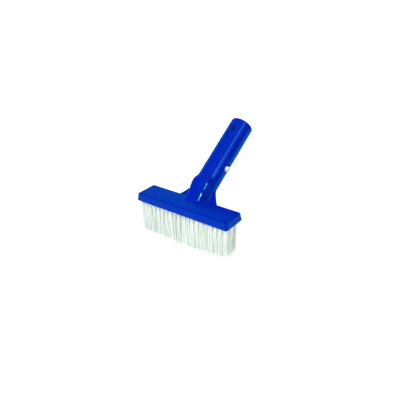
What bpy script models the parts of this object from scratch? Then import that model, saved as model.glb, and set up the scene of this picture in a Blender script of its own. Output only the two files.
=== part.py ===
"""Hand brush for pool walls: a moulded head and handle, tufts of bristle and a sprung handle clip.

Metres, +Z up. The origin is the centre of the head's top face, +X runs along the head, the
handle leans back towards +Y, and the bristles point down. The handle is modelled upright in a
frame of its own, where z runs up the tube and -y is the front of the tube, and that frame is
then tilted back.
"""

from math import cos, pi, radians, sin, sqrt, tan

import bmesh
import bpy
from mathutils import Matrix, Vector

MM = 0.001
GAP = 0.3 * MM  # between pieces that touch

# Head
HEAD_LENGTH = 130.0 * MM
HEAD_WIDTH = 30.4 * MM
HEAD_THICKNESS = 9.2 * MM
HEAD_DRAFT = 1.3 * MM  # how far each side leans in towards the top
HEAD_CORNER = 2.4 * MM
HEAD_TOP_EDGE = 1.2 * MM

# Tufts, in columns across the head
TUFT_COLUMNS = 20
TUFT_ROWS = 3
TUFT_RADIUS = 2.1 * MM
TUFT_SPLAYED_RADIUS = 2.9 * MM
TUFT_SIDES = 8
TUFT_END_MARGIN = 4.7 * MM  # from the end of the head to the first column
TUFT_SIDE_MARGIN = 6.2 * MM  # from the side of the head to the outer row
HOLE_FLOOR = 3.4 * MM  # head left above a tuft hole
BRISTLE_LENGTH = 40.6 * MM  # below the head
BRISTLE_JOIN = 12.0 * MM  # below the head, where the rows meet
BRISTLE_EDGE = 1.2 * MM
BRISTLE_SPREAD = 1.0 * MM  # how much further the outer rows reach at the tips
BRISTLE_LEAN = 4.0 * MM  # how far the tips lean in at the +X end
BRISTLE_WEAR = 3.0 * MM  # how much shorter the bristles are at the +X end

# Handle tube
TUBE_TILT = radians(56.5)  # from upright
TUBE_SETBACK = 10.4 * MM  # from the head's back to where the tube's axis meets the top plane
TUBE_RADIUS = 14.25 * MM
TUBE_WALL = 2.6 * MM
TUBE_END = 104.3 * MM  # along the axis
TUBE_END_CHAMFER = 0.5 * MM
TUBE_SIDES = 40
BORE_FLOOR = 8.0 * MM
CROSS_HOLE_RADIUS = 3.5 * MM
CROSS_HOLE_FROM_END = 16.0 * MM

# Neck, where the tube runs down into the head
NECK_FOOT = -22.0 * MM
NECK_SHOULDER = 8.0 * MM  # the widest place, which stops the pole
NECK_ROUND = 19.0 * MM  # from here on the neck is the plain tube
NECK_FOOT_CUT = 0.65 * MM  # of the flat front below the tube's surface
NECK_SHOULDER_RISE = 0.35 * MM  # of the flat front above the tube's surface
NECK_RISE = 1.6  # how late the flat front rises
NECK_SWELL_START = -10.0 * MM
NECK_SWELL = 4.2 * MM  # of the shoulder's corners beyond the tube
NECK_CORNER = radians(36)  # from the middle of the front to a corner
NECK_FADE = radians(38)  # from a corner to where the round tube begins
NECK_SIDE_START = -5.0 * MM  # from the foot to here the sides are cut the whole depth
NECK_SIDE_CUT = 6.0 * MM  # of the sides inside the tube's surface, beside the flat front
NECK_SIDE_LEAN = radians(24)  # how far the cut sides open towards the back
NECK_STEP = 2.5 * MM
NECK_UNDERSIDE = 0.8 * MM  # above the head's underside

# Web on both sides of the neck
WEB_THICKNESS = 3.2 * MM
WEB_DROP = 1.7 * MM  # behind the tube's middle plane, which its front face stays just clear of
WEB_TOP = 12.4 * MM
WEB_FOOT = -15.0 * MM
WEB_FLARE = 19.5 * MM  # how much further out than the tube its foot reaches
WEB_HOLLOW_OUT = 6.65 * MM  # the point that the curved edge bends towards, out from the tube
WEB_HOLLOW_UP = -1.2 * MM

# Clip
CLIP_THICKNESS = 1.8 * MM
CLIP_WIDTH = 8.0 * MM
BOW_RADIUS = 5.1 * MM  # to the middle of the strip
BOW_LEG = 2.5 * MM
BOW_CLEARANCE = 0.5 * MM  # to the floor of the bore
PAD_LENGTH = 10.0 * MM
BUTTON_PLACE = 40.0 * MM  # along the axis
BUTTON_RADIUS = 3.25 * MM
BUTTON_PROUD = 3.0 * MM
BUTTON_EDGE = 0.7 * MM
BUTTON_SINK = 0.6 * MM  # how deep the button stands in its pad
BUTTON_CLEARANCE = 0.45 * MM
PRESS_ANGLE = radians(8)

TUFT_PITCH_X = (HEAD_LENGTH - 2 * TUFT_END_MARGIN) / (TUFT_COLUMNS - 1)
TUFT_PITCH_Y = (HEAD_WIDTH - 2 * TUFT_SIDE_MARGIN) / (TUFT_ROWS - 1)
BORE_RADIUS = TUBE_RADIUS - TUBE_WALL
PAD_OUTER = sqrt(BORE_RADIUS**2 - (CLIP_WIDTH / 2) ** 2) - GAP
PAD_MIDDLE = PAD_OUTER - CLIP_THICKNESS / 2
BOW_CENTRE = BORE_FLOOR + BOW_CLEARANCE + CLIP_THICKNESS / 2 + BOW_RADIUS
HINGE_PLACE = BOW_CENTRE + BOW_LEG + GAP / 2
BUTTON_TIP = TUBE_RADIUS + BUTTON_PROUD

BLUE = (0.004, 0.03, 0.52, 1)
WHITE = (0.85, 0.87, 0.86, 1)
NYLON = (0.76, 0.82, 0.76, 1)


def clear_scene():
    for item in list(bpy.data.objects):
        bpy.data.objects.remove(item, do_unlink=True)


def new_collection(name):
    group = bpy.data.collections.new(name)
    bpy.context.scene.collection.children.link(group)
    return group


def plastic(name, colour, roughness):
    material = bpy.data.materials.new(name)
    material.use_nodes = True
    shader = material.node_tree.nodes["Principled BSDF"]
    shader.inputs["Base Color"].default_value = colour
    shader.inputs["Roughness"].default_value = roughness
    shader.inputs["Metallic"].default_value = 0.0
    return material


def new_object(name, bm, group, parent=None, location=(0, 0, 0)):
    """An object from a bmesh, placed in its parent's frame."""
    bmesh.ops.recalc_face_normals(bm, faces=bm.faces[:])
    mesh = bpy.data.meshes.new(name)
    bm.to_mesh(mesh)
    bm.free()
    item = bpy.data.objects.new(name, mesh)
    item.parent = parent
    item.location = location
    group.objects.link(item)
    return item


def finish_part(item, material, sharp=30):
    item.data.materials.append(material)
    item.data.shade_smooth()
    item.data.set_sharp_from_angle(angle=radians(sharp))


def make_guide(item):
    """Keeps a cutter, or a shape that is joined to another, out of the model."""
    item.hide_render = True
    item.display_type = "WIRE"
    return item


def add_boolean(item, other, operation):
    modifier = item.modifiers.new(f"{operation.lower()} {other.name}", "BOOLEAN")
    modifier.object = other
    modifier.operation = operation
    modifier.solver = "EXACT"


def evaluated_mesh(item, name):
    """The mesh of an object with its modifiers, in the object's own frame."""
    graph = bpy.context.evaluated_depsgraph_get()
    mesh = bpy.data.meshes.new_from_object(item.evaluated_get(graph))
    mesh.name = name
    return mesh


def smooth_step(value):
    value = min(max(value, 0.0), 1.0)
    return value * value * (3 - 2 * value)


def loft(rings):
    """A closed body through rings of equally many points."""
    bm = bmesh.new()
    loops = [[bm.verts.new(point) for point in ring] for ring in rings]
    for lower, upper in zip(loops, loops[1:]):
        for i in range(len(lower)):
            j = (i + 1) % len(lower)
            bm.faces.new((lower[i], lower[j], upper[j], upper[i]))
    bm.faces.new(list(reversed(loops[0])))
    bm.faces.new(loops[-1])
    return bm


def ring(radius, z, sides, centre=(0, 0)):
    """Corners of a regular outline with a flat side towards each axis."""
    turns = [2 * pi * (i + 0.5) / sides for i in range(sides)]
    return [(centre[0] + radius * cos(t), centre[1] + radius * sin(t), z) for t in turns]


def add_cylinder(bm, radius, start, end, sides):
    """A cylinder between two points."""
    start, end = Vector(start), Vector(end)
    run = end - start
    place = Matrix.Translation((start + end) / 2) @ run.to_track_quat("Z", "Y").to_matrix().to_4x4()
    bmesh.ops.create_cone(bm, cap_ends=True, segments=sides, radius1=radius, radius2=radius,
                          depth=run.length, matrix=place)


def outline_mesh(name, points, thickness, group):
    """A flat plate in the x-z plane, from the corners of its outline."""
    curve = bpy.data.curves.new(name, "CURVE")
    curve.dimensions = "2D"
    curve.fill_mode = "BOTH"
    curve.extrude = thickness / 2
    spline = curve.splines.new("POLY")
    spline.points.add(len(points) - 1)
    for corner, (x, z) in zip(spline.points, points):
        corner.co = (x, z, 0, 1)
    spline.use_cyclic_u = True
    flat = bpy.data.objects.new(name, curve)
    group.objects.link(flat)
    mesh = evaluated_mesh(flat, name)
    bpy.data.objects.remove(flat)
    bpy.data.curves.remove(curve)
    bm = bmesh.new()
    bm.from_mesh(mesh)
    bpy.data.meshes.remove(mesh)
    bmesh.ops.remove_doubles(bm, verts=bm.verts[:], dist=0.01 * MM)
    bmesh.ops.rotate(bm, verts=bm.verts[:], cent=(0, 0, 0), matrix=Matrix.Rotation(pi / 2, 3, "X"))
    return bm


def bend(start, pull, end, steps):
    """Points along a curve from start to end that bends towards pull."""
    points = []
    for i in range(steps + 1):
        t = i / steps
        points.append(tuple((1 - t) ** 2 * a + 2 * t * (1 - t) * b + t**2 * c
                            for a, b, c in zip(start, pull, end)))
    return points


def head_block(group):
    """The tapered block that holds the tufts, with a rounded top."""
    bm = bmesh.new()
    bmesh.ops.create_cube(bm, size=1)
    for vert in bm.verts:
        draft = HEAD_DRAFT if vert.co.z > 0 else 0
        vert.co.x *= HEAD_LENGTH - 2 * draft
        vert.co.y *= HEAD_WIDTH - 2 * draft
        vert.co.z = 0 if vert.co.z > 0 else -HEAD_THICKNESS
    upright = [e for e in bm.edges if abs(e.verts[0].co.z - e.verts[1].co.z) > HEAD_THICKNESS / 2]
    bmesh.ops.bevel(bm, geom=upright, offset=HEAD_CORNER, segments=3, profile=0.5, affect="EDGES")
    top = [e for e in bm.edges if all(v.co.z > -GAP for v in e.verts)]
    bmesh.ops.bevel(bm, geom=top, offset=HEAD_TOP_EDGE, segments=2, profile=0.5, affect="EDGES")
    return new_object("brush_body", bm, group)


def neck_section(s):
    """The tube's outline at s along its axis. The neck has a flat front, cut sides and swollen corners."""
    rise = min((s - NECK_FOOT) / (NECK_SHOULDER - NECK_FOOT), 1)
    flat = TUBE_RADIUS - NECK_FOOT_CUT + (NECK_FOOT_CUT + NECK_SHOULDER_RISE) * rise**NECK_RISE
    grown = smooth_step((s - NECK_SWELL_START) / (NECK_SHOULDER - NECK_SWELL_START))
    faded = smooth_step((s - NECK_SHOULDER) / (NECK_ROUND - NECK_SHOULDER))
    swell = NECK_SWELL * grown * (1 - faded)
    opened = smooth_step((s - NECK_SIDE_START) / (NECK_SHOULDER - NECK_SIDE_START))
    side = TUBE_RADIUS - NECK_SIDE_CUT * (1 - opened) + flat * tan(NECK_SIDE_LEAN)
    points = []
    for i in range(TUBE_SIDES):
        angle = 2 * pi * i / TUBE_SIDES
        from_front = min(angle, 2 * pi - angle)
        past_corner = max(from_front - NECK_CORNER, 0) / NECK_FADE
        radius = TUBE_RADIUS + swell * max(1 - past_corner, 0) ** 2.5
        if from_front < pi / 3 and s < NECK_ROUND:
            radius = min(radius, flat / cos(from_front))
        if from_front < 2 * pi / 3:
            radius = min(radius, side / (sin(from_front) + cos(from_front) * tan(NECK_SIDE_LEAN)))
        points.append((radius * sin(angle), -radius * cos(angle), s))
    return points


def handle(group, frame):
    """The neck and the tube as one body, still without its bore."""
    steps = round((NECK_ROUND - NECK_FOOT) / NECK_STEP)
    places = [NECK_FOOT + (NECK_ROUND - NECK_FOOT) * i / steps for i in range(steps + 1)]
    rings = [neck_section(s) for s in places]
    rings.append(neck_section(TUBE_END - TUBE_END_CHAMFER))
    narrower = (TUBE_RADIUS - TUBE_END_CHAMFER) / TUBE_RADIUS
    rings.append([(x * narrower, y * narrower, TUBE_END) for x, y, _ in rings[-1]])
    return make_guide(new_object("handle", loft(rings), group, frame))


def web(group, frame):
    """The thin plate that braces both sides of the neck, just behind the tube's middle plane."""
    hollow = (TUBE_RADIUS + WEB_HOLLOW_OUT, WEB_HOLLOW_UP)
    edge = bend((TUBE_RADIUS - GAP, WEB_TOP), hollow, (TUBE_RADIUS + WEB_FLARE, WEB_FOOT), 8)
    outline = edge + [(-x, z) for x, z in reversed(edge)]
    bm = outline_mesh("web", outline, WEB_THICKNESS, group)
    return make_guide(new_object("web", bm, group, frame, (0, WEB_DROP, 0)))


def underside_trim(group):
    """What is cut off the handle, so that it ends just above the head's underside."""
    bm = bmesh.new()
    bmesh.ops.create_cube(bm, size=1)
    reach = 2 * (TUBE_END + TUBE_RADIUS)
    depth = TUBE_END
    bmesh.ops.scale(bm, verts=bm.verts[:], vec=(reach, reach, depth))
    top = -HEAD_THICKNESS + NECK_UNDERSIDE
    bmesh.ops.translate(bm, verts=bm.verts[:], vec=(0, 0, top - depth / 2))
    return make_guide(new_object("underside_trim", bm, group))


def tuft_places():
    first = -TUFT_PITCH_X * (TUFT_COLUMNS - 1) / 2
    return [first + TUFT_PITCH_X * i for i in range(TUFT_COLUMNS)]


def row_places():
    first = -TUFT_PITCH_Y * (TUFT_ROWS - 1) / 2
    return [first + TUFT_PITCH_Y * i for i in range(TUFT_ROWS)]


def tuft_holes(group):
    bm = bmesh.new()
    low, high = -HEAD_THICKNESS - 1 * MM, -HOLE_FLOOR
    for x in tuft_places():
        for y in row_places():
            turn = Matrix.Rotation(pi / TUFT_SIDES, 4, "Z")
            place = Matrix.Translation((x, y, (low + high) / 2)) @ turn
            bmesh.ops.create_cone(bm, cap_ends=True, segments=TUFT_SIDES, depth=high - low, matrix=place,
                                  radius1=TUFT_RADIUS + GAP, radius2=TUFT_RADIUS + GAP)
    return make_guide(new_object("tuft_holes", bm, group))


def bore(group, frame):
    bm = bmesh.new()
    add_cylinder(bm, BORE_RADIUS, (0, 0, BORE_FLOOR), (0, 0, TUBE_END + TUBE_WALL), TUBE_SIDES)
    return make_guide(new_object("bore", bm, group, frame))


def cross_hole(group, frame):
    """The hole through the front and back of the tube, near its open end."""
    bm = bmesh.new()
    place = TUBE_END - CROSS_HOLE_FROM_END
    reach = TUBE_RADIUS + TUBE_WALL
    add_cylinder(bm, CROSS_HOLE_RADIUS, (0, -reach, place), (0, reach, place), 20)
    return make_guide(new_object("cross_hole", bm, group, frame))


def button_slots(group, frame):
    """The holes that the buttons stand in, long enough for a button that tilts as it is pressed."""
    bm = bmesh.new()
    reach = BUTTON_TIP
    radius = BUTTON_RADIUS + BUTTON_CLEARANCE
    add_cylinder(bm, radius, (-reach, 0, BUTTON_PLACE), (reach, 0, BUTTON_PLACE), 20)
    for vert in bm.verts:
        if vert.co.z > BUTTON_PLACE:
            vert.co.z += (BUTTON_TIP - BOW_RADIUS) * sin(PRESS_ANGLE)
    return make_guide(new_object("button_slots", bm, group, frame))


def brush_body(parts, guides, frame):
    body = head_block(parts)
    tube = handle(guides, frame)
    add_boolean(tube, web(guides, frame), "UNION")
    add_boolean(tube, underside_trim(guides), "DIFFERENCE")
    add_boolean(body, tube, "UNION")
    for cutter in (bore(guides, frame), cross_hole(guides, frame), button_slots(guides, frame),
                   tuft_holes(guides)):
        add_boolean(body, cutter, "DIFFERENCE")
    finish_part(body, plastic("blue_plastic", BLUE, 0.28))


def tip_x(x):
    """Where along the head a bristle that is rooted at x has its tip."""
    return x - BRISTLE_LEAN * max(2 * x / HEAD_LENGTH, 0) ** 3


def tip_z(x):
    wear = smooth_step((2 * x / HEAD_LENGTH - 0.25) / 0.5)
    return -HEAD_THICKNESS - BRISTLE_LENGTH + BRISTLE_WEAR * wear


def tuft_roots(name, x, splayed, group):
    """The round tufts of one column, from inside their holes down to where the rows meet."""
    low = -HEAD_THICKNESS - BRISTLE_JOIN
    roots = bmesh.new()
    for y in row_places():
        tuft = loft([
            ring(splayed, low - BRISTLE_EDGE, TUFT_SIDES, (x, y)),
            ring(TUFT_RADIUS, -HEAD_THICKNESS, TUFT_SIDES, (x, y)),
            ring(TUFT_RADIUS, -HOLE_FLOOR - GAP, TUFT_SIDES, (x, y)),
        ])
        mesh = bpy.data.meshes.new(name)
        tuft.to_mesh(mesh)
        tuft.free()
        roots.from_mesh(mesh)
        bpy.data.meshes.remove(mesh)
    return make_guide(new_object(name, roots, group))


def tuft_column(name, x, parts, guides, material):
    """One solid for each column: a tuft from each row, splayed until the rows meet."""
    half = TUFT_PITCH_X / 2
    splayed = min(TUFT_SPLAYED_RADIUS, half - GAP / 2)
    reach = row_places()[-1] + splayed
    bm = bmesh.new()
    bmesh.ops.create_cube(bm, size=2)
    for vert in bm.verts:
        side_x, side_y = vert.co.x, vert.co.y
        edge = x + side_x * half
        if vert.co.z > 0:
            vert.co = (edge - side_x * GAP / 2, side_y * reach, -HEAD_THICKNESS - BRISTLE_JOIN)
        else:
            vert.co = (tip_x(edge) - side_x * GAP / 2, side_y * (reach + BRISTLE_SPREAD), tip_z(edge))
    ends = [e for e in bm.edges if all(v.co.y > 0 for v in e.verts) or all(v.co.y < 0 for v in e.verts)]
    bmesh.ops.bevel(bm, geom=ends, offset=BRISTLE_EDGE, segments=1, profile=0.5, affect="EDGES")
    column = new_object(name, bm, parts)
    add_boolean(column, tuft_roots(f"{name}_roots", x, splayed, guides), "UNION")
    finish_part(column, material)


def clip_bow(parts, guides, frame, material):
    """The bent end of the clip, which stays still at the bottom of the bore."""
    inner, outer = BOW_RADIUS - CLIP_THICKNESS / 2, BOW_RADIUS + CLIP_THICKNESS / 2
    turns = [pi * i / 16 for i in range(17)]
    outline = [(outer, BOW_LEG)] + [(outer * cos(t), -outer * sin(t)) for t in turns]
    outline += [(-outer, BOW_LEG), (-inner, BOW_LEG)]
    outline += [(-inner * cos(t), -inner * sin(t)) for t in turns] + [(inner, BOW_LEG)]
    bm = outline_mesh("clip_bow", outline, CLIP_WIDTH, guides)
    bow = new_object("clip_bow", bm, parts, frame, (0, 0, BOW_CENTRE))
    finish_part(bow, material)


def clip_arm(name, side, parts, guides, frame, material):
    """A sprung arm with its button. Its origin is on the hinge line, at the end of the bow."""
    half = CLIP_THICKNESS / 2
    pad_start = BUTTON_PLACE - PAD_LENGTH / 2 - HINGE_PLACE
    pad_end = pad_start + PAD_LENGTH
    pad = PAD_MIDDLE - BOW_RADIUS
    outline = [(-half, GAP / 2), (half, GAP / 2), (pad + half, pad_start), (pad + half, pad_end),
               (pad - half, pad_end), (pad - half, pad_start)]
    bm = outline_mesh(name, [(side * x, z) for x, z in outline], CLIP_WIDTH, guides)
    arm = new_object(name, bm, parts, frame, (side * BOW_RADIUS, 0, HINGE_PLACE))

    button = bmesh.new()
    root, tip = PAD_OUTER - BUTTON_SINK, BUTTON_TIP
    add_cylinder(button, BUTTON_RADIUS, (side * root, 0, BUTTON_PLACE), (side * tip, 0, BUTTON_PLACE), 24)
    rim = [e for e in button.edges if all(abs(v.co.x) > tip - GAP for v in e.verts)]
    bmesh.ops.bevel(button, geom=rim, offset=BUTTON_EDGE, segments=2, profile=0.5, affect="EDGES")
    stud = make_guide(new_object(f"{name}_button", button, guides, frame))
    add_boolean(arm, stud, "UNION")
    finish_part(arm, material)


def main():
    clear_scene()
    parts = new_collection("pool_wall_brush")
    guides = new_collection("guides")
    frame = bpy.data.objects.new("handle_frame", None)
    frame.location = (0, HEAD_WIDTH / 2 + TUBE_SETBACK, 0)
    frame.rotation_euler = (-TUBE_TILT, 0, 0)
    parts.objects.link(frame)
    brush_body(parts, guides, frame)
    nylon = plastic("nylon_bristle", NYLON, 0.45)
    for number, x in enumerate(tuft_places(), start=1):
        tuft_column(f"tuft_column_{number:02d}", x, parts, guides, nylon)
    white = plastic("white_plastic", WHITE, 0.35)
    clip_bow(parts, guides, frame, white)
    for name, side in (("clip_arm_right", 1), ("clip_arm_left", -1)):
        clip_arm(name, side, parts, guides, frame, white)


main()
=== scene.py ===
"""A pool wall brush: one blue moulding of head, neck and tube, the sprung clip in the tube with its two
buttons, twenty columns of nylon bristles, and a pale studio. Metres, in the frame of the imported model."""

from math import cos, pi, radians, sin, sqrt, tan

import bmesh
import bpy
import numpy as np
from bpy.props import FloatProperty, FloatVectorProperty, IntProperty, PointerProperty
from bpy.types import Operator, Panel, PropertyGroup
from mathutils import Matrix, Vector


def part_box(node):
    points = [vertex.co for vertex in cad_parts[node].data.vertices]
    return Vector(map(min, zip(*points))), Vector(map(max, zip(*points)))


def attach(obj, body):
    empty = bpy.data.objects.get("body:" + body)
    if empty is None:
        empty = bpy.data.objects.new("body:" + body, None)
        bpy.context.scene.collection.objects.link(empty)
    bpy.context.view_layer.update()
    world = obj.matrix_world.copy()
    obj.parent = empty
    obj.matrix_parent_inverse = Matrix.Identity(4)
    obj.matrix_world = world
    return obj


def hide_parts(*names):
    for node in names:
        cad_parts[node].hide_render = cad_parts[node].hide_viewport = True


bl_info = {
    "name": "Pool wall brush",
    "version": (1, 0, 0),
    "blender": (4, 5, 0),
    "location": "3D view > Sidebar > Wall brush",
    "description": "Builds a pool wall brush with its button clip and its bristles",
    "category": "Object",
}

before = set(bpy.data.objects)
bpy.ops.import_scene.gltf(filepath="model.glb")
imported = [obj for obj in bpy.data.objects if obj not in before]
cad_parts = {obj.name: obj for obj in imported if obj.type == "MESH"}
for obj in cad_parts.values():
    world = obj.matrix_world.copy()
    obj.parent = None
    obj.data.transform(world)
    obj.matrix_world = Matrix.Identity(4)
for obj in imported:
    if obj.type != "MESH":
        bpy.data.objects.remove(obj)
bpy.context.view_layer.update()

MM = 0.001
HEAD_LOW, HEAD_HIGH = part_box("brush_body")
HEAD_HALF_LENGTH = HEAD_HIGH.x
HEAD_HALF_WIDTH = -HEAD_LOW.y
HEAD_THICKNESS = -HEAD_LOW.z
HEAD_DRAFT = 1.3 * MM  # how far each side leans in towards the top
HEAD_CORNER = 2.4 * MM
HEAD_TOP_EDGE = 1.2 * MM
HEAD_LOW_EDGE = 0.4 * MM

TILT = radians(56.5)  # of the tube, from upright
AXIS_START = HEAD_HALF_WIDTH + 10.4 * MM  # where the tube's axis meets the top of the head
TUBE_RADIUS = 14.25 * MM
BORE_RADIUS = 11.65 * MM
BORE_FLOOR_EDGE = 1.0 * MM
BORE_FLOOR = 8.0 * MM  # this and the places below are along the tube's axis, from the top of the head
TUBE_END = 104.3 * MM
TUBE_END_RIM = 1.5  # its rounding, in radii of the other rims
CROSS_HOLE_PLACE = 88.3 * MM
CROSS_HOLE_RADIUS = 3.5 * MM
SLOT_PLACE = 40.0 * MM
SLOT_RADIUS = 3.7 * MM
SLOT_STRETCH = 1.69 * MM  # towards the open end, for the button's swing

NECK_FOOT = -22.0 * MM
NECK_SHOULDER = 8.0 * MM
NECK_SWELL_START = -10.0 * MM
NECK_SWELL_FADE = 7.0 * MM
NECK_FLAT_FADE = 4.0 * MM
NECK_ROUND = 21.0 * MM  # beyond it only the tube is left
NECK_FLAT = TUBE_RADIUS - 0.65 * MM  # from the axis to the flat front, at the foot
NECK_RISE = 1.0 * MM  # how much further out the flat front is at the shoulder
NECK_RISE_CURVE = 1.6
NECK_FLAT_LIFT = 4.0 * MM  # how far out the flat front moves where it fades
NECK_SWELL = 4.2 * MM
NECK_CORNER = radians(36)  # from the front, round the axis: up to here the swell is full
NECK_FADE = radians(38)  # and over this angle it goes to nothing
NECK_FADE_CURVE = 2.5
NECK_SIDE_START = -5.0 * MM
NECK_SIDE_CUT = 6.0 * MM
NECK_SIDE_LEAN = radians(24)
NECK_SIDE_EDGE = 1.5 * MM
NECK_EDGE = 4.5 * MM
UNDERSIDE = 0.8 * MM - HEAD_THICKNESS  # the flat that the neck and web end in
UNDERSIDE_EDGE = 0.3 * MM

SKIN_MERGE = 0.002 * MM
SKIN_ADAPTIVITY = 0.03  # how far flat stretches of the skin are thinned out

WEB_DROP = 1.7 * MM  # behind the tube's middle plane
WEB_HALF_THICKNESS = 1.6 * MM
WEB_ROUND = 0.9 * MM
WEB_ROOT = 0.8 * MM  # fillet between the neck and the web
# The web's edge is a curve, as half widths and places: where it starts, bends towards and ends
WEB_EDGE = ((13.95 * MM, 12.4 * MM), (20.9 * MM, -1.2 * MM), (33.75 * MM, -15.0 * MM))
WEB_OVERRUN = (-0.5, 1.2)  # how far the curve is followed past both ends, in shares of its height

COLUMNS, ROWS = 20, 3
END_MARGIN, SIDE_MARGIN = 4.7 * MM, 6.2 * MM  # from the head's outline to the outer tufts' middles
PITCH_X = 2 * (HEAD_HALF_LENGTH - END_MARGIN) / (COLUMNS - 1)
PITCH_Y = 2 * (HEAD_HALF_WIDTH - SIDE_MARGIN) / (ROWS - 1)
TUFT_RADIUS = 2.1 * MM
HOLE_RADIUS = 2.4 * MM
HOLE_DEPTH = 5.8 * MM
HOLE_FLOOR_EDGE = 0.4 * MM
HOLE_RIM = 0.35 * MM
BRISTLE_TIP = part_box("tuft_column_01")[0].z
BRISTLE_ROOT = 4.0 * MM - HEAD_THICKNESS  # inside the hole
BRISTLE_LEAN = 4.0 * MM  # towards the middle, at the right-hand end
BRISTLE_LEAN_CURVE = 3
BRISTLE_WEAR = 3.0 * MM  # how much shorter the bristles are at that end
BRISTLE_WEAR_START, BRISTLE_WEAR_END = 0.25, 0.75  # in shares of the head's half length
BRISTLE_GATHER = 0.3  # how much of the width is lost at that end
BRISTLE_GATHER_CURVE = 6
ROOT_FILL = 0.92  # how much of a tuft's radius its filaments fill at the root
CROSS_SPREAD = 1.25  # across the head, next to the spread along it
TIP_STRAY = 0.35 * MM
FILAMENT_SWAY = 0.25 * MM
FILAMENT_SIDES = 5
FILAMENT_THINNEST = 0.9  # of the thickness
FILAMENT_TAPER = 0.15
FILAMENT_TURN = (2.0, 3.0, 1.0)  # how soon it turns to its tip in x, y and z. At 1 it is straight
GOLDEN_ANGLE = pi * (3 - sqrt(5))

BOW_CENTRE = 14.5 * MM
BOW_RADIUS = 5.1 * MM
BOW_STEPS = 24
STRIP_THICKNESS = 1.8 * MM
STRIP_WIDTH = 8.0 * MM
STRIP_EDGE = 0.35 * MM
HINGE_PLACE = 17.15 * MM
HINGE_GAP = 0.15 * MM  # to the bow on one side and to the arm on the other
ARM_STEPS = 12
PAD_MIDDLE = 9.74 * MM  # from the tube's axis
PAD_START, PAD_END = 35.0 * MM, 45.0 * MM
BUTTON_RADIUS = 3.25 * MM
BUTTON_ROOT = PAD_MIDDLE + 0.3 * MM  # inside the strip
BUTTON_TIP = 17.25 * MM
BUTTON_SIDES = 40
DOME_STEPS = 3
DOME_STEP_WIDTH = 0.69 * MM
DOME_STEP_RISE = 0.08 * MM

FLOOR_RADIUS = 9.0
FLOOR_DROP = 0.1 * MM  # below the bristles' tips
FLOOR_FADE_START, FLOOR_FADE_END = 0.4, 2.4  # from the brush: the floor turns white between them
LAMP_AIM = Vector((0, 0.03, 0.01))
LAMPS = (  # name, place, width and length, colour, and whether it is there to be mirrored
    ("gleam", (1.12, -0.1, 1.17), (0.34, 1.8), (0.5, 1.0, 1.0), True),
    ("spark", (1.24, -0.21, 0.83), (0.26, 0.2), (1.0, 0.8, 0.75), True),
    ("side", (1.2, -0.9, 1.2), (0.8, 0.8), (1.0, 1.0, 1.0), False),
    ("front", (-0.5, -1.6, 1.35), (2.4, 1.6), (1.0, 1.0, 1.0), False),
    ("top", (0.0, 0.2, 1.8), (1.6, 1.6), (1.0, 1.0, 1.0), False),
)
CAMERA_PLACE = (0.29338513, -0.33760343, 0.2348983)
CAMERA_BEARING, CAMERA_ELEVATION, CAMERA_ROLL = radians(38.45), radians(28.12), radians(-2.33)
CAMERA_LENS, CAMERA_SENSOR = 39.52, 36.0
CAMERA_NEAR, CAMERA_FAR = 0.01, 50.0
WHITE = (1.0, 1.0, 1.0)


# Tools for pieces


def smooth_step(value, start=0.0, end=1.0):
    """0 up to start, 1 from end on, and smooth between them."""
    share = np.clip((value - start) / (end - start), 0.0, 1.0)
    return share * share * (3.0 - 2.0 * share)


def handle_matrix(along=0.0):
    """From the tube's own axes, with Z along it and -Y its front, to the frame."""
    turn = Matrix.Rotation(-TILT, 4, "X")
    return Matrix.Translation((0, AXIS_START, 0)) @ turn @ Matrix.Translation((0, 0, along))


def new_piece(name, mesh, material, body, slot, *nodes):
    """Links a finished mesh as a piece that rides on a body and stands for CAD nodes."""
    mesh.materials.append(material)
    piece = bpy.data.objects.new(name, mesh)
    bpy.context.scene.collection.objects.link(piece)
    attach(piece, body)
    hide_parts(*nodes)
    return piece


def to_mesh(bm, name, smooth_below=40):
    """A mesh from a bmesh, shaded smooth except at edges sharper than the angle given."""
    for face in bm.faces:
        face.smooth = True
    for edge in bm.edges:
        edge.smooth = edge.calc_face_angle(0.0) < radians(smooth_below)
    mesh = bpy.data.meshes.new(name)
    bm.to_mesh(mesh)
    bm.free()
    return mesh


def draw_out(bm, moves):
    """Extrudes the one face of a bmesh through each move in turn, into one closed solid."""
    front = list(bm.faces)
    for index, move in enumerate(moves):
        grown = bmesh.ops.extrude_face_region(bm, geom=front)["geom"]
        if index:
            bmesh.ops.delete(bm, geom=front, context="FACES_ONLY")
        front = [item for item in grown if isinstance(item, bmesh.types.BMFace)]
        verts = [item for item in grown if isinstance(item, bmesh.types.BMVert)]
        bmesh.ops.transform(bm, matrix=move, verts=verts)
    bmesh.ops.recalc_face_normals(bm, faces=bm.faces)


# Materials


class Value:
    """A number in a material. Arithmetic on it adds Math nodes."""

    def __init__(self, shader, socket):
        self.shader, self.socket = shader, socket

    def math(self, operation, *terms):
        sockets = dict(enumerate(terms))
        return self.shader.node("ShaderNodeMath", {"operation": operation}, sockets)["Value"]

    def __add__(self, other):
        return self.math("ADD", self, other)

    def __mul__(self, other):
        return self.math("MULTIPLY", self, other)

    __radd__, __rmul__ = __add__, __mul__


class Outputs:
    """The outputs of a node, each as a Value."""

    def __init__(self, shader, node):
        self.shader, self.node = shader, node

    def __getitem__(self, name):
        return Value(self.shader, self.node.outputs[name])


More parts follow.
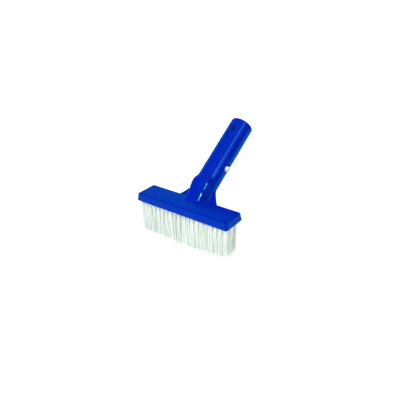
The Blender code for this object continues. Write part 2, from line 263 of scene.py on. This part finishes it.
class Shader:
    """The nodes of one material or world."""

    def __init__(self, owner):
        self.owner = owner
        owner.use_nodes = True
        self.tree = owner.node_tree
        self.tree.nodes.clear()

    def node(self, kind, settings=None, sockets=None):
        """Adds a node. Its settings come first, then the values or links of its sockets."""
        node = self.tree.nodes.new(kind)
        for name, value in (settings or {}).items():
            setattr(node, name, value)
        for name, value in (sockets or {}).items():
            if isinstance(value, Value):
                self.tree.links.new(value.socket, node.inputs[name])
            elif len(np.shape(value)) and len(value) == 3 and node.inputs[name].type == "RGBA":
                node.inputs[name].default_value = (*value, 1.0)
            else:
                node.inputs[name].default_value = value
        return Outputs(self, node)

    def place(self):
        return self.node("ShaderNodeTexCoord")["Object"]

    def noise(self, vector, scale, detail=2.0, roughness=0.5):
        sockets = {"Vector": vector, "Scale": scale, "Detail": detail, "Roughness": roughness}
        return self.node("ShaderNodeTexNoise", None, sockets)["Fac"]

    def mix(self, factor, first, second):
        """A colour mix. Its sockets go by number, because the node has several of each name."""
        sockets = {0: factor, 6: first, 7: second}
        return self.node("ShaderNodeMix", {"data_type": "RGBA"}, sockets)[2]

    def level(self, value, low, high):
        """0 up to low, 1 from high on, and smooth between them."""
        sockets = {"Value": value, "From Min": low, "From Max": high}
        return self.node("ShaderNodeMapRange", {"interpolation_type": "SMOOTHSTEP"}, sockets)["Result"]

    def bump(self, height, distance, strength):
        sockets = {"Height": height, "Distance": distance, "Strength": strength}
        return self.node("ShaderNodeBump", None, sockets)["Normal"]

    def finish(self, **sockets):
        """Ends the material in a Principled shader with these sockets, named with _ for a space."""
        named = {name.replace("_", " "): value for name, value in sockets.items()}
        shader = self.node("ShaderNodeBsdfPrincipled", None, named)["BSDF"]
        self.node("ShaderNodeOutputMaterial", None, {"Surface": shader})
        return self.owner


def shade(colour, factor):
    return tuple(min(channel * factor, 1.0) for channel in colour)


def gloss_plastic(colour):
    """Polished blue moulding: a faint flow in its colour, dust-dulled patches and fine ripple."""
    shader = Shader(bpy.data.materials.new("blue_plastic"))
    place = shader.place()
    flow = shader.noise(place, scale=28.0, detail=3.0)
    dust = shader.noise(place, scale=190.0, detail=4.0, roughness=0.6)
    ripple = shader.noise(place, scale=420.0)
    tone = shader.mix(flow, shade(colour, 0.9), shade(colour, 1.08))
    return shader.finish(
        Base_Color=tone,
        Roughness=0.14 + dust * 0.1,
        IOR=1.5,
        Specular_Tint=(0.1, 0.55, 1.0),
        Normal=shader.bump(ripple, distance=0.004 * MM, strength=0.5),
    )


def satin_plastic(colour):
    """White clip plastic with the soft grain of its mould."""
    shader = Shader(bpy.data.materials.new("white_plastic"))
    place = shader.place()
    cloud = shader.noise(place, scale=60.0, detail=3.0)
    grain = shader.noise(place, scale=1500.0)
    tone = shader.mix(cloud, shade(colour, 0.97), shade(colour, 1.03))
    return shader.finish(
        Base_Color=tone,
        Roughness=0.28 + cloud * 0.12,
        Normal=shader.bump(grain, distance=0.01 * MM, strength=0.5),
    )


def nylon(colour):
    """Bristle nylon: each filament has its own tint, and painted shade darkens it near its root, where the
    head and the tufts around it shade it.
    """
    shader = Shader(bpy.data.materials.new("nylon_bristle"))
    tint = shader.node("ShaderNodeAttribute", {"attribute_name": "filament"})["Fac"]
    rise = shader.node("ShaderNodeAttribute", {"attribute_name": "along"})["Fac"]
    body = shader.mix(tint, shade(colour, 0.93), shade(colour, 1.05))
    # Painted shade: each filament is darkened towards its root, where the head and the other tufts shade it
    free = shader.level(rise, -0.1, 0.3)
    return shader.finish(
        Base_Color=shader.mix(free, shade(colour, 0.62), body),
        Roughness=0.38 + tint * 0.14,
    )


# The moulding


def round_off(first, second, radius):
    """What lies in both solids, with the edge between them rounded."""
    reach = np.hypot(np.maximum(first + radius, 0.0), np.maximum(second + radius, 0.0))
    return np.minimum(-radius, np.maximum(first, second)) + reach


def fillet(first, second, radius):
    """What lies in either solid, with the corner between them filled."""
    reach = np.hypot(np.maximum(radius - first, 0.0), np.maximum(radius - second, 0.0))
    return np.maximum(radius, np.minimum(first, second)) - reach


def head_depth(x, y, z):
    """How far a point is outside the head's tapered block. Below 0 is inside."""
    lean = HEAD_DRAFT * (z + HEAD_THICKNESS) / HEAD_THICKNESS
    over_x = np.abs(x) - (HEAD_HALF_LENGTH - lean - HEAD_CORNER)
    over_y = np.abs(y) - (HEAD_HALF_WIDTH - lean - HEAD_CORNER)
    side = np.hypot(np.maximum(over_x, 0), np.maximum(over_y, 0))
    side = side + np.minimum(np.maximum(over_x, over_y), 0)
    block = round_off(side - HEAD_CORNER, z, HEAD_TOP_EDGE)
    return round_off(block, -HEAD_THICKNESS - z, HEAD_LOW_EDGE)


def neck_and_tube_depth(x, y, along):
    """The tube, and the neck that swells to a shoulder below it and has a flat front."""
    radius, angle = np.hypot(x, y), np.abs(np.arctan2(x, -y))
    swell = NECK_SWELL * smooth_step(along, NECK_SWELL_START, NECK_SHOULDER)
    swell *= 1 - smooth_step(along, NECK_SWELL_FADE, NECK_ROUND)
    fade = np.maximum(1 - np.maximum(angle - NECK_CORNER, 0) / NECK_FADE, 0) ** NECK_FADE_CURVE
    round_side = radius - TUBE_RADIUS - swell * fade
    rise = np.clip((along - NECK_FOOT) / (NECK_SHOULDER - NECK_FOOT), 0, 1)
    flat = NECK_FLAT + NECK_RISE * rise**NECK_RISE_CURVE
    opened = smooth_step(along, NECK_SIDE_START, NECK_SHOULDER)
    width = TUBE_RADIUS - NECK_SIDE_CUT * (1 - opened) + (flat + y) * tan(NECK_SIDE_LEAN)
    neck = round_off(round_side, (np.abs(x) - width) * cos(NECK_SIDE_LEAN), NECK_SIDE_EDGE)
    lift = NECK_FLAT_LIFT * smooth_step(along, NECK_FLAT_FADE, NECK_ROUND)
    return round_off(neck, -y - flat - lift, NECK_EDGE)


def web_depth(x, y, along):
    """The thin plate on both sides of the neck, whose edges curve in towards the tube."""
    (x0, z0), (x1, z1), (x2, z2) = WEB_EDGE
    share = np.clip((z0 - along) / (z0 - z2), *WEB_OVERRUN)
    width = x0 * (1 - share) ** 2 + 2 * x1 * share * (1 - share) + x2 * share**2
    slope = 2 * ((x1 - x0) * (1 - share) + (x2 - x1) * share) / (z0 - z2)
    edge = (np.abs(x) - width) / np.sqrt(1 + slope**2)
    return round_off(edge, np.abs(y - WEB_DROP) - WEB_HALF_THICKNESS, WEB_ROUND)


def moulding_depth(points, rim, root):
    """How far points are outside the whole moulding, with every edge and corner rounded."""
    x, y, z = points.T
    # In the tube's own axes
    along = (y - AXIS_START) * sin(TILT) + z * cos(TILT)
    back = (y - AXIS_START) * cos(TILT) - z * sin(TILT)
    grip = fillet(neck_and_tube_depth(x, back, along), web_depth(x, back, along), WEB_ROOT)
    grip = round_off(grip, UNDERSIDE - z, UNDERSIDE_EDGE)
    grip = round_off(grip, along - TUBE_END, TUBE_END_RIM * rim)
    solid = fillet(head_depth(x, y, z), grip, root)

    bore = round_off(np.hypot(x, back) - BORE_RADIUS, BORE_FLOOR - along, BORE_FLOOR_EDGE)
    solid = round_off(solid, -bore, rim)
    solid = round_off(solid, CROSS_HOLE_RADIUS - np.hypot(x, along - CROSS_HOLE_PLACE), rim)
    stretch = np.clip(along - SLOT_PLACE, 0, SLOT_STRETCH)
    slot = np.hypot(back, along - SLOT_PLACE - stretch) - SLOT_RADIUS
    solid = round_off(solid, -np.maximum(slot, BORE_RADIUS / 2 - np.abs(x)), rim)

    column = np.clip(np.rint(x / PITCH_X - 0.5) + 0.5, 0.5 - COLUMNS / 2, COLUMNS / 2 - 0.5)
    row = np.clip(np.rint(y / PITCH_Y), -(ROWS // 2), ROWS // 2)
    hole = np.hypot(x - column * PITCH_X, y - row * PITCH_Y) - HOLE_RADIUS
    hole = round_off(hole, z + HEAD_THICKNESS - HOLE_DEPTH, HOLE_FLOOR_EDGE)
    return round_off(solid, -hole, HOLE_RIM)


def steepest(points, depth, step=0.01 * MM):
    """The direction in which depth grows fastest at each point, and how fast it grows."""
    slope = np.empty_like(points)
    for axis in range(3):
        shift = np.zeros(3)
        shift[axis] = step
        slope[:, axis] = (depth(points + shift) - depth(points - shift)) / (2 * step)
    size = np.maximum(np.linalg.norm(slope, axis=1, keepdims=True), 1e-6)
    return slope / size, size[:, 0]


def settle(points, edges, depth, passes=3, ease=0.35, longest=0.4 * MM):
    """Evens the points out along the surface and puts them exactly on it. The first and last
    turns only put them on it. Also gives the surface's direction at each point."""
    here, there = edges.ravel(), edges[:, ::-1].ravel()
    neighbours = np.bincount(here, minlength=len(points))[:, None]
    for turn in range(passes + 2):
        if 1 <= turn <= passes:
            totals = [np.bincount(here, points[there, axis], len(points)) for axis in range(3)]
            points = points + ease * (np.stack(totals, axis=1) / neighbours - points)
        for _ in range(2):
            normal, size = steepest(points, depth)
            move = np.clip(depth(points) / size, -longest, longest)
            points = points - normal * move[:, None]
    return points, steepest(points, depth)[0]


def build_moulding(settings):
    """A fine skin over a copy of the CAD body, moved on to the rounded shape."""
    bm = bmesh.new()
    bm.from_mesh(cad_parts["brush_body"].data)
    bmesh.ops.remove_doubles(bm, verts=bm.verts, dist=SKIN_MERGE)
    rough = bpy.data.objects.new("moulding_skin", to_mesh(bm, "moulding_skin"))
    bpy.context.scene.collection.objects.link(rough)
    skin = rough.modifiers.new("skin", "REMESH")
    skin.mode, skin.voxel_size, skin.adaptivity = "VOXEL", settings.mesh_step, SKIN_ADAPTIVITY
    graph = bpy.context.evaluated_depsgraph_get()
    mesh = bpy.data.meshes.new_from_object(rough.evaluated_get(graph))
    bpy.data.objects.remove(rough)

    points = np.empty(len(mesh.vertices) * 3, np.float32)
    mesh.vertices.foreach_get("co", points)
    edges = np.empty(len(mesh.edges) * 2, np.int32)
    mesh.edges.foreach_get("vertices", edges)
    points, normals = settle(
        points.reshape(-1, 3).astype(float),
        edges.reshape(-1, 2),
        lambda places: moulding_depth(places, settings.rim, settings.root),
    )
    mesh.vertices.foreach_set("co", points.astype(np.float32).ravel())
    mesh.polygons.foreach_set("use_smooth", [True] * len(mesh.polygons))
    mesh.update()
    mesh.normals_split_custom_set_from_vertices(normals.astype(np.float32))
    return new_piece("moulding", mesh, gloss_plastic(settings.colour), "brush", "blue_plastic", "brush_body")


# The button clip


def strip(path):
    """A flat strip whose section follows a path in the x-z plane, with its edges rounded."""
    bm = bmesh.new()
    start = bmesh.ops.create_grid(bm, x_segments=1, y_segments=1, size=0.5)["verts"]
    bmesh.ops.scale(bm, vec=(STRIP_THICKNESS, STRIP_WIDTH, 1), verts=start)
    steps = []
    for index, (x, z) in enumerate(path):
        before = path[max(index - 1, 0)]
        after = path[min(index + 1, len(path) - 1)]
        heading = Vector((after[0] - before[0], 0, after[1] - before[1])).normalized()
        turn = Vector((0, 0, 1)).rotation_difference(heading).to_matrix().to_4x4()
        steps.append(Matrix.Translation((x, 0, z)) @ turn)
    bmesh.ops.transform(bm, matrix=steps[0], verts=start)
    draw_out(bm, [after @ before.inverted() for before, after in zip(steps, steps[1:])])
    sharp = [edge for edge in bm.edges if edge.calc_face_angle(0.0) > radians(50)]
    bmesh.ops.bevel(bm, geom=sharp, offset=STRIP_EDGE, segments=3, profile=0.5, affect="EDGES",
                    material=-1, clamp_overlap=True)
    return bm


def build_bow(material):
    """The bent end of the clip, at the bottom of the bore."""
    turns = [pi + pi * index / BOW_STEPS for index in range(BOW_STEPS + 1)]
    bend = [(BOW_RADIUS * cos(turn), BOW_RADIUS * sin(turn)) for turn in turns]
    end = HINGE_PLACE - HINGE_GAP - BOW_CENTRE
    bm = strip([(-BOW_RADIUS, end), *bend, (BOW_RADIUS, end)])
    bmesh.ops.transform(bm, matrix=handle_matrix(BOW_CENTRE), verts=bm.verts)
    mesh = to_mesh(bm, "clip_bend", 60)
    return new_piece("clip_bend", mesh, material, "brush", "white_plastic", "clip_bow")


def build_arm(name, side, body, node, settings, material):
    """A sprung arm, its pad against the bore and its domed button."""
    start = HINGE_PLACE + HINGE_GAP
    path = []
    for share in np.linspace(0.0, 1.0, ARM_STEPS + 1):
        out = BOW_RADIUS + (PAD_MIDDLE - BOW_RADIUS) * smooth_step(share)
        path.append((side * out, start + (PAD_START - start) * share))
    path += [(side * PAD_MIDDLE, (PAD_START + PAD_END) / 2), (side * PAD_MIDDLE, PAD_END)]
    bm = strip(path)

    button = bmesh.new()
    length = BUTTON_TIP - BUTTON_ROOT
    middle = Matrix.Translation((0, 0, BUTTON_ROOT + length / 2))
    bmesh.ops.create_cone(button, cap_ends=True, segments=BUTTON_SIDES, radius1=BUTTON_RADIUS,
                          radius2=BUTTON_RADIUS, depth=length, matrix=middle)
    top = [face for face in button.faces if face.normal.z > 0.9]
    rim = list({edge for face in top for edge in face.edges})
    bmesh.ops.bevel(button, geom=rim, offset=settings.button_edge, segments=5, profile=0.5,
                    affect="EDGES", material=-1)
    top = max(button.faces, key=lambda face: face.calc_center_median().z)
    for _ in range(DOME_STEPS):
        bmesh.ops.inset_region(button, faces=[top], thickness=DOME_STEP_WIDTH, depth=DOME_STEP_RISE)
    bmesh.ops.transform(button, matrix=Matrix.Rotation(side * pi / 2, 4, "Y"), verts=button.verts)
    bmesh.ops.translate(button, vec=(0, 0, SLOT_PLACE), verts=button.verts)
    button_mesh = to_mesh(button, "button")
    bm.from_mesh(button_mesh)
    bpy.data.meshes.remove(button_mesh)

    bmesh.ops.transform(bm, matrix=handle_matrix(), verts=bm.verts)
    return new_piece(name, to_mesh(bm, name, 60), material, body, "white_plastic", node)


# The bristles


def build_filament(settings):
    """One filament that hangs from the origin, 1 long, as a mesh to copy and bend."""
    bm = bmesh.new()
    radius = settings.thickness / 2
    bmesh.ops.create_circle(bm, cap_ends=True, segments=FILAMENT_SIDES, radius=radius)
    draw_out(bm, [Matrix.Translation((0, 0, -1.0 / settings.bends))] * settings.bends)
    mesh = bpy.data.meshes.new("filament")
    bm.to_mesh(mesh)
    bm.free()
    return mesh


def build_column(number, settings, material):
    """The three tufts that stand side by side across the head, as single filaments."""
    rng = np.random.default_rng(settings.seed + number)
    x_root = (number - (COLUMNS - 1) / 2) * PITCH_X
    fraction = x_root / HEAD_HALF_LENGTH
    x_tip = x_root - BRISTLE_LEAN * max(fraction, 0) ** BRISTLE_LEAN_CURVE
    worn = float(smooth_step(fraction, BRISTLE_WEAR_START, BRISTLE_WEAR_END))
    z_tip = BRISTLE_TIP + BRISTLE_WEAR * worn
    gather = 1 - BRISTLE_GATHER * max(fraction, 0) ** BRISTLE_GATHER_CURVE

    filament = build_filament(settings)
    shape = np.empty(len(filament.vertices) * 3, np.float32)
    filament.vertices.foreach_get("co", shape)
    shape = shape.reshape(-1, 3).astype(float)
    share = -shape[:, 2]
    lean = 1 - (1 - share[:, None]) ** np.array(FILAMENT_TURN)
    taper = 1 - FILAMENT_TAPER * share[:, None]

    bm = bmesh.new()
    places, tints = [], []
    for row in range(ROWS):
        y_root = (row - (ROWS - 1) / 2) * PITCH_Y
        for index in range(settings.per_tuft):
            turn = index * GOLDEN_ANGLE + number
            reach = sqrt((index + 0.5) / settings.per_tuft)
            stray = rng.normal(0, 1, 5)
            out_x, out_y = reach * cos(turn), reach * sin(turn)
            # The tips fill a square, except at the four corners of the brush
            outer_corner = number in (0, COLUMNS - 1) and out_x * x_root > 0 and out_y * y_root > 0
            square = 1 if outer_corner else 1 / max(abs(cos(turn)), abs(sin(turn)))
            root = np.array([
                x_root + out_x * TUFT_RADIUS * ROOT_FILL,
                y_root + out_y * TUFT_RADIUS * ROOT_FILL,
                BRISTLE_ROOT,
            ])
            tip = np.array([
                x_tip + out_x * square * settings.spread + stray[0] * TIP_STRAY,
                (y_root + out_y * square * settings.spread * CROSS_SPREAD) * gather + stray[1] * TIP_STRAY,
                z_tip + abs(stray[2]) * settings.scatter,
            ])
            spine = root + (tip - root) * lean
            spine[:, :2] += np.sin(share * pi)[:, None] * stray[None, 3:5] * FILAMENT_SWAY
            thin = (FILAMENT_THINNEST + (1 - FILAMENT_THINNEST) * rng.random()) * taper
            places.append(spine + shape * np.array([1, 1, 0]) * thin)
            tints.append(rng.random())
            bm.from_mesh(filament)
    mesh = to_mesh(bm, f"bristles_{number + 1:02d}", 70)
    bpy.data.meshes.remove(filament)
    mesh.vertices.foreach_set("co", np.concatenate(places).astype(np.float32).ravel())
    for name, values in (("filament", np.repeat(tints, len(share))), ("along", np.tile(share, len(tints)))):
        mesh.attributes.new(name, "FLOAT", "POINT").data.foreach_set("value", values.astype(np.float32))
    mesh.update()
    return new_piece(mesh.name, mesh, material, "brush", "nylon_bristle", f"tuft_column_{number + 1:02d}")


# The studio


def build_floor(settings):
    """A matt floor that glows a little near the brush and turns plain white further out."""
    paper = Shader(bpy.data.materials.new("studio_floor"))
    place = paper.place()
    grain = paper.noise(place, scale=9.0, detail=3.0)
    distance = paper.node("ShaderNodeVectorMath", {"operation": "LENGTH"}, {0: place})["Value"]
    far = paper.level(distance, FLOOR_FADE_START, FLOOR_FADE_END)
    material = paper.finish(
        Base_Color=paper.mix(grain, shade(settings.floor, 0.99), settings.floor),
        Roughness=0.9,
        Specular_IOR_Level=0.0,
        Emission_Color=paper.mix(far, settings.glow, WHITE),
        Emission_Strength=1.0,
    )
    bm = bmesh.new()
    bmesh.ops.create_circle(bm, cap_ends=True, segments=64, radius=FLOOR_RADIUS)
    bmesh.ops.translate(bm, vec=(0, 0, BRISTLE_TIP - FLOOR_DROP), verts=bm.verts)
    floor = bpy.data.objects.new("studio_floor", to_mesh(bm, "studio_floor"))
    floor.data.materials.append(material)
    bpy.context.scene.collection.objects.link(floor)
    floor.visible_glossy = False


def build_room(settings):
    """The world: white to the camera, pale to matt surfaces, and a tinted room to glossy ones."""
    world = bpy.data.worlds.new("studio")
    bpy.context.scene.world = world
    room = Shader(world)
    rays = room.node("ShaderNodeLightPath")
    direction = room.node("ShaderNodeTexCoord")["Generated"]
    parts = room.node("ShaderNodeSeparateXYZ", None, {"Vector": direction})
    low = room.level(parts["Z"], -0.3, 0.0)
    high = room.level(parts["Z"], 0.48, 0.62)
    right = room.level(parts["X"], 0.3, 0.7)
    walls = room.mix(right, settings.mirrored_walls, settings.mirrored_ceiling)
    upper = room.mix(high, walls, settings.mirrored_ceiling)
    mirrored = room.mix(low, settings.mirrored_floor, upper)
    light = room.mix(rays["Is Glossy Ray"], settings.surroundings, mirrored)
    light = room.mix(rays["Is Camera Ray"], light, WHITE)
    surface = room.node("ShaderNodeBackground", None, {"Color": light})["Background"]
    room.node("ShaderNodeOutputWorld", None, {"Surface": surface})


def build_lamps(settings):
    """Rectangular lamps, with their length along the tube where they face it."""
    along_tube = Vector((0, sin(TILT), cos(TILT)))
    for name, place, size, colour, mirrored in LAMPS:
        lamp = bpy.data.lights.new(name, "AREA")
        lamp.shape = "RECTANGLE"
        lamp.size, lamp.size_y = size
        lamp.energy, lamp.color = getattr(settings, name), colour
        back = (Vector(place) - LAMP_AIM).normalized()
        side = along_tube.cross(back).normalized()
        turn = Matrix((side, back.cross(side), back)).transposed().to_4x4()
        holder = bpy.data.objects.new(name, lamp)
        holder.visible_glossy = mirrored
        holder.visible_diffuse = not mirrored
        holder.matrix_world = Matrix.Translation(place) @ turn
        bpy.context.scene.collection.objects.link(holder)


def build_camera():
    """The camera, to the right of the brush, in front of it and above it."""
    flat = cos(CAMERA_ELEVATION)
    back = Vector((sin(CAMERA_BEARING) * flat, -cos(CAMERA_BEARING) * flat, sin(CAMERA_ELEVATION)))
    level = Vector((cos(CAMERA_BEARING), sin(CAMERA_BEARING), 0))
    upright = back.cross(level)
    right = level * cos(CAMERA_ROLL) + upright * sin(CAMERA_ROLL)
    up = upright * cos(CAMERA_ROLL) - level * sin(CAMERA_ROLL)
    camera = bpy.data.objects.new("camera", bpy.data.cameras.new("camera"))
    camera.data.lens, camera.data.sensor_width = CAMERA_LENS, CAMERA_SENSOR
    camera.data.clip_start, camera.data.clip_end = CAMERA_NEAR, CAMERA_FAR
    turn = Matrix((right, up, back)).transposed().to_4x4()
    camera.matrix_world = Matrix.Translation(CAMERA_PLACE) @ turn
    scene = bpy.context.scene
    scene.collection.objects.link(camera)
    scene.camera = camera
    scene.view_settings.view_transform = "Standard"


# The add-on


class MouldingSettings(PropertyGroup):
    colour: FloatVectorProperty(name="Plastic", description="Colour of the head, neck and tube",
                                subtype="COLOR", min=0, max=1, default=(0.0, 0.0105, 0.36))
    rim: FloatProperty(name="Rim rounding", description="Radius at the rims of the tube and its holes",
                       unit="LENGTH", default=0.5 * MM)
    root: FloatProperty(name="Root fillet", description="Radius where the neck grows out of the head",
                        unit="LENGTH", default=1.2 * MM)
    mesh_step: FloatProperty(name="Mesh step", description="Size of the faces on rounded edges",
                             unit="LENGTH", default=0.4 * MM)


class ClipSettings(PropertyGroup):
    colour: FloatVectorProperty(name="Plastic", description="Colour of the clip and its buttons",
                                subtype="COLOR", min=0, max=1, default=(0.6, 0.66, 0.67))
    button_edge: FloatProperty(name="Button rounding", description="Radius at the end of each button",
                               unit="LENGTH", default=0.9 * MM)


class BristleSettings(PropertyGroup):
    colour: FloatVectorProperty(name="Nylon", description="Colour of the bristles",
                                subtype="COLOR", min=0, max=1, default=(0.85, 0.91, 0.85))
    per_tuft: IntProperty(name="Filaments", description="Filaments in each tuft", min=7, default=96)
    bends: IntProperty(name="Bends", description="Steps along each filament", min=2, default=5)
    thickness: FloatProperty(name="Thickness", description="Diameter of one filament",
                             unit="LENGTH", default=0.5 * MM)
    spread: FloatProperty(name="Spread", description="Half the width of a tuft at its tips",
                          unit="LENGTH", default=3.3 * MM)
    scatter: FloatProperty(name="Scatter", description="How unevenly the tips are trimmed",
                           unit="LENGTH", default=0.5 * MM)
    seed: IntProperty(name="Seed", description="Changes how the filaments fall", default=11)


class StageSettings(PropertyGroup):
    floor: FloatVectorProperty(name="Floor", description="Colour of the floor",
                               subtype="COLOR", min=0, max=1, default=(0.9, 0.9, 0.9))
    glow: FloatVectorProperty(name="Floor glow", description="How much the floor near the brush glows",
                              subtype="COLOR", min=0, max=1, default=(0.45, 0.45, 0.45))
    surroundings: FloatVectorProperty(name="Surroundings", description="Light from the room on matt surfaces",
                                      subtype="COLOR", min=0, max=1, default=(0.25, 0.25, 0.25))
    mirrored_walls: FloatVectorProperty(name="Mirrored walls", description="What gloss mirrors at its sides",
                                        subtype="COLOR", min=0, soft_max=1, default=(0.03, 0.42, 0.55))
    mirrored_floor: FloatVectorProperty(name="Mirrored floor", description="What gloss mirrors below",
                                        subtype="COLOR", min=0, soft_max=1, default=(0.02, 0.95, 0.9))
    mirrored_ceiling: FloatVectorProperty(name="Mirrored ceiling", description="What gloss mirrors above",
                                          subtype="COLOR", min=0, soft_max=1, default=(0.02, 0.06, 0.1))
    gleam: FloatProperty(name="Gleam", description="Power of the strip that glossy surfaces mirror",
                         unit="POWER", default=9.0)
    spark: FloatProperty(name="Spark", description="Power of the small bright lamp in the gleam",
                         unit="POWER", default=40.0)
    side: FloatProperty(name="Side lamp", description="Power at the right", unit="POWER", default=7.0)
    front: FloatProperty(name="Front lamp", description="Power in front", unit="POWER", default=35.0)
    top: FloatProperty(name="Top lamp", description="Power overhead", unit="POWER", default=21.0)


class WALLBRUSH_OT_moulding(Operator):
    """Build the blue head, neck and tube"""

    bl_idname = "wallbrush.moulding"
    bl_label = "Moulding"

    def execute(self, context):
        build_moulding(context.scene.wallbrush_moulding)
        return {"FINISHED"}


class WALLBRUSH_OT_clip(Operator):
    """Build the sprung clip with its two buttons"""

    bl_idname = "wallbrush.clip"
    bl_label = "Button clip"

    def execute(self, context):
        settings = context.scene.wallbrush_clip
        material = satin_plastic(settings.colour)
        build_bow(material)
        build_arm("clip_button_right", 1, "right_arm", "clip_arm_right", settings, material)
        build_arm("clip_button_left", -1, "left_arm", "clip_arm_left", settings, material)
        return {"FINISHED"}


class WALLBRUSH_OT_bristles(Operator):
    """Build the twenty columns of bristles"""

    bl_idname = "wallbrush.bristles"
    bl_label = "Bristles"

    def execute(self, context):
        settings = context.scene.wallbrush_bristles
        material = nylon(settings.colour)
        for number in range(COLUMNS):
            build_column(number, settings, material)
        return {"FINISHED"}


class WALLBRUSH_OT_stage(Operator):
    """Set up the floor, lamps and camera"""

    bl_idname = "wallbrush.stage"
    bl_label = "Studio"

    def execute(self, context):
        settings = context.scene.wallbrush_stage
        build_floor(settings)
        build_room(settings)
        build_lamps(settings)
        build_camera()
        return {"FINISHED"}


class WALLBRUSH_PT_panel(Panel):
    """Sizes and colours of the wall brush, with a button for each of its parts"""

    bl_idname = "WALLBRUSH_PT_panel"
    bl_label = "Pool wall brush"
    bl_space_type = "VIEW_3D"
    bl_region_type = "UI"
    bl_category = "Wall brush"

    def draw(self, context):
        for name in PARTS:
            box = self.layout.box()
            settings = getattr(context.scene, f"wallbrush_{name}")
            for field in settings.__annotations__:
                box.prop(settings, field)
            box.operator(f"wallbrush.{name}")


PARTS = {
    "stage": StageSettings,
    "moulding": MouldingSettings,
    "clip": ClipSettings,
    "bristles": BristleSettings,
}
CLASSES = (
    *PARTS.values(),
    WALLBRUSH_OT_stage,
    WALLBRUSH_OT_moulding,
    WALLBRUSH_OT_clip,
    WALLBRUSH_OT_bristles,
    WALLBRUSH_PT_panel,
)


def register():
    for item in CLASSES:
        bpy.utils.register_class(item)
    for name, group in PARTS.items():
        setattr(bpy.types.Scene, f"wallbrush_{name}", PointerProperty(type=group))


def unregister():
    for name in PARTS:
        delattr(bpy.types.Scene, f"wallbrush_{name}")
    for item in reversed(CLASSES):
        bpy.utils.unregister_class(item)


def main():
    register()
    bpy.ops.wallbrush.stage()
    bpy.ops.wallbrush.moulding()
    bpy.ops.wallbrush.clip()
    bpy.ops.wallbrush.bristles()


if __name__ == "__main__":
    main()
